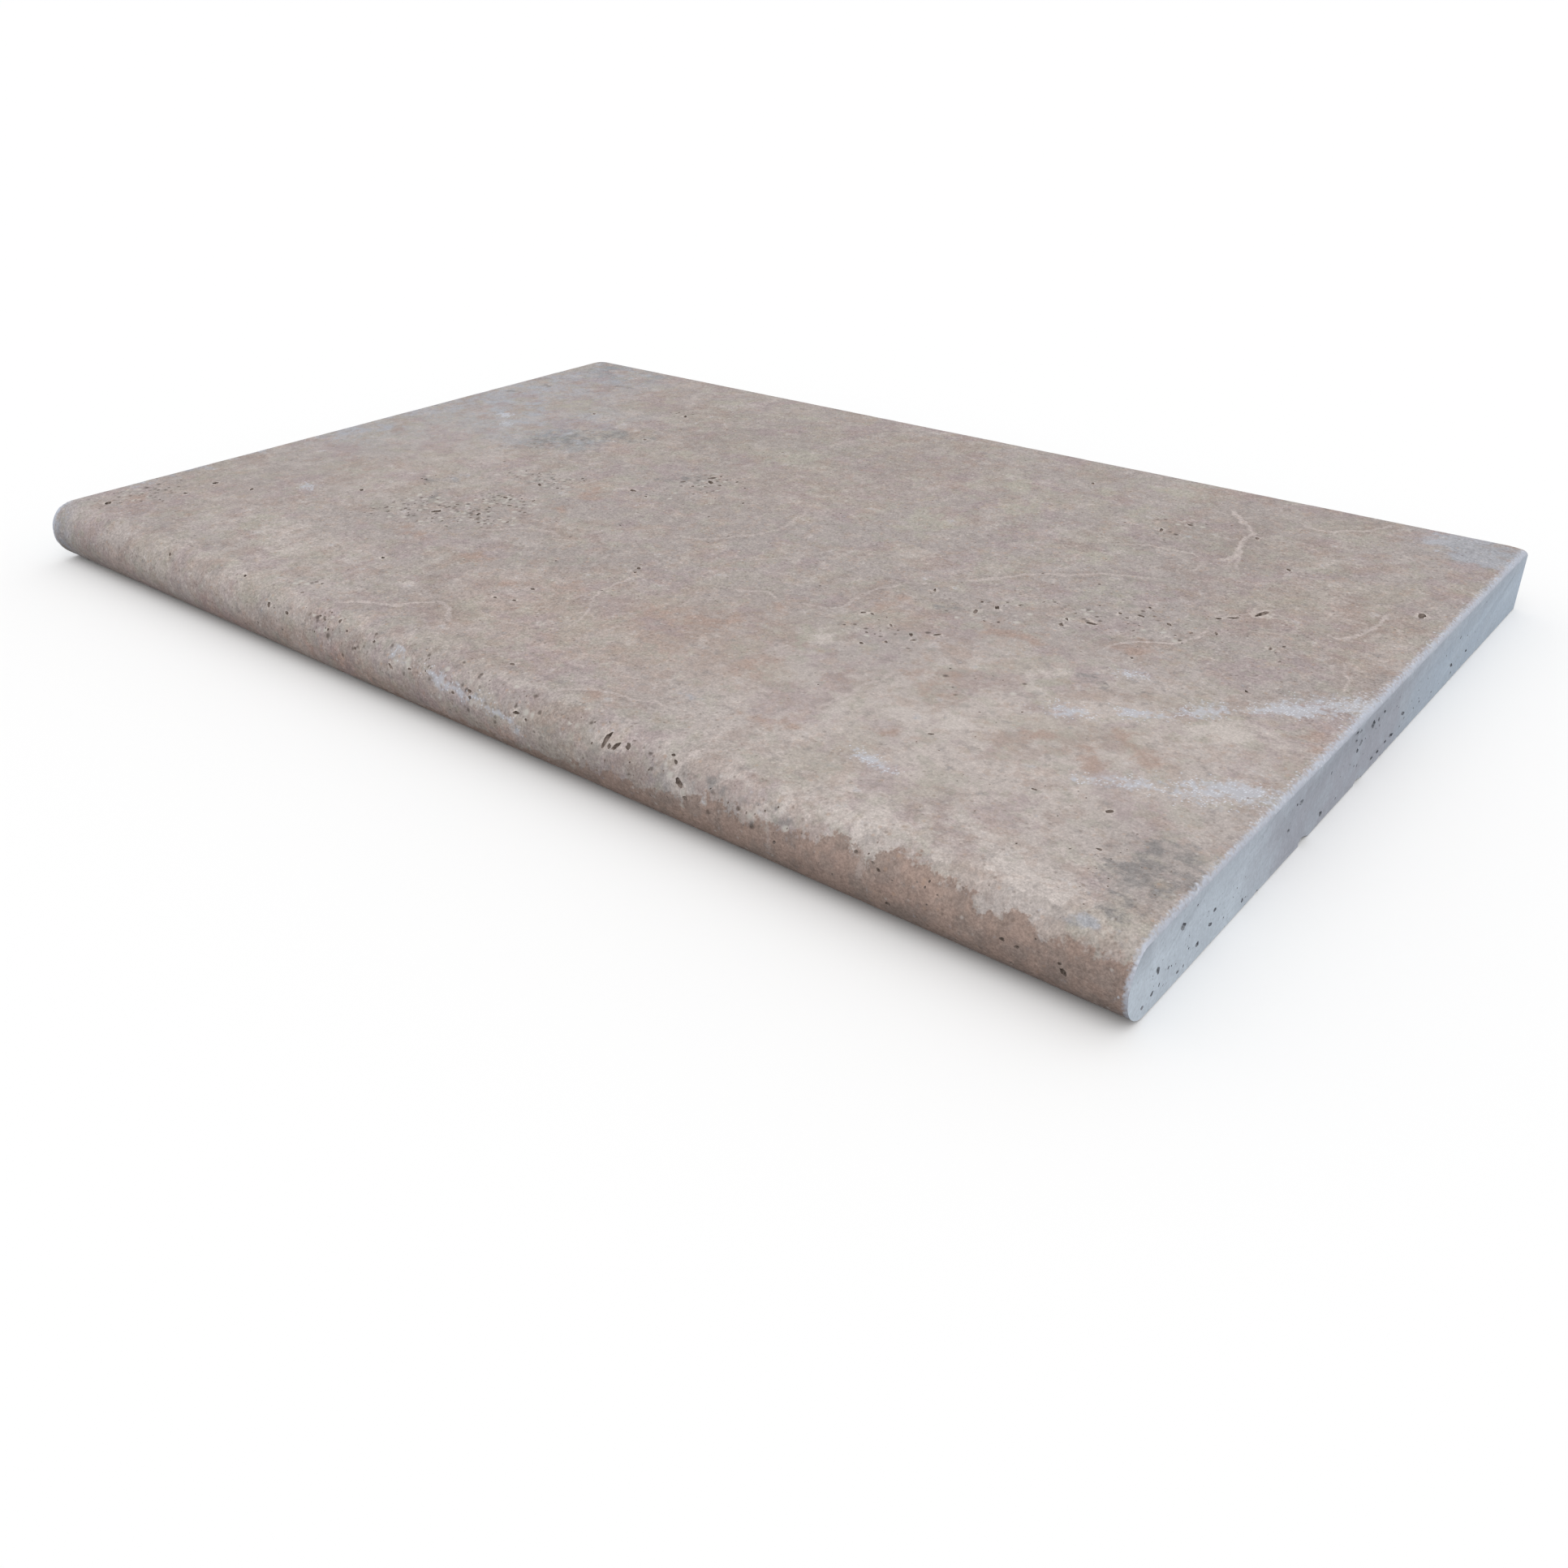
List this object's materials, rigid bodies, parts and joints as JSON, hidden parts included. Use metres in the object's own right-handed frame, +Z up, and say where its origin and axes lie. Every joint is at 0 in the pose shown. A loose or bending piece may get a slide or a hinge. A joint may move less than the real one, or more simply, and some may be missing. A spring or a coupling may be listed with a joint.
{
  "type": "bullnose coping stone",
  "caption": "Flat rectangular coping stone of brushed unfilled travertine with a full round nose along one long edge, laid as the rim of a pool, step or wall.",
  "frame": {"origin": "centre of the bounding box, on the underside that the stone is bedded on", "axes": "+X along the nose, -Y towards the nose, +Y towards the back, +Z up out of the brushed face"},
  "size_m": [0.6096, 0.4064, 0.03],
  "materials": {
    "travertine": "brushed matt top and nose, sawn grey ends, unfilled pores"
  },
  "bodies": {
    "root": {"coping_stone": "travertine"}
  },
  "joints": []
}
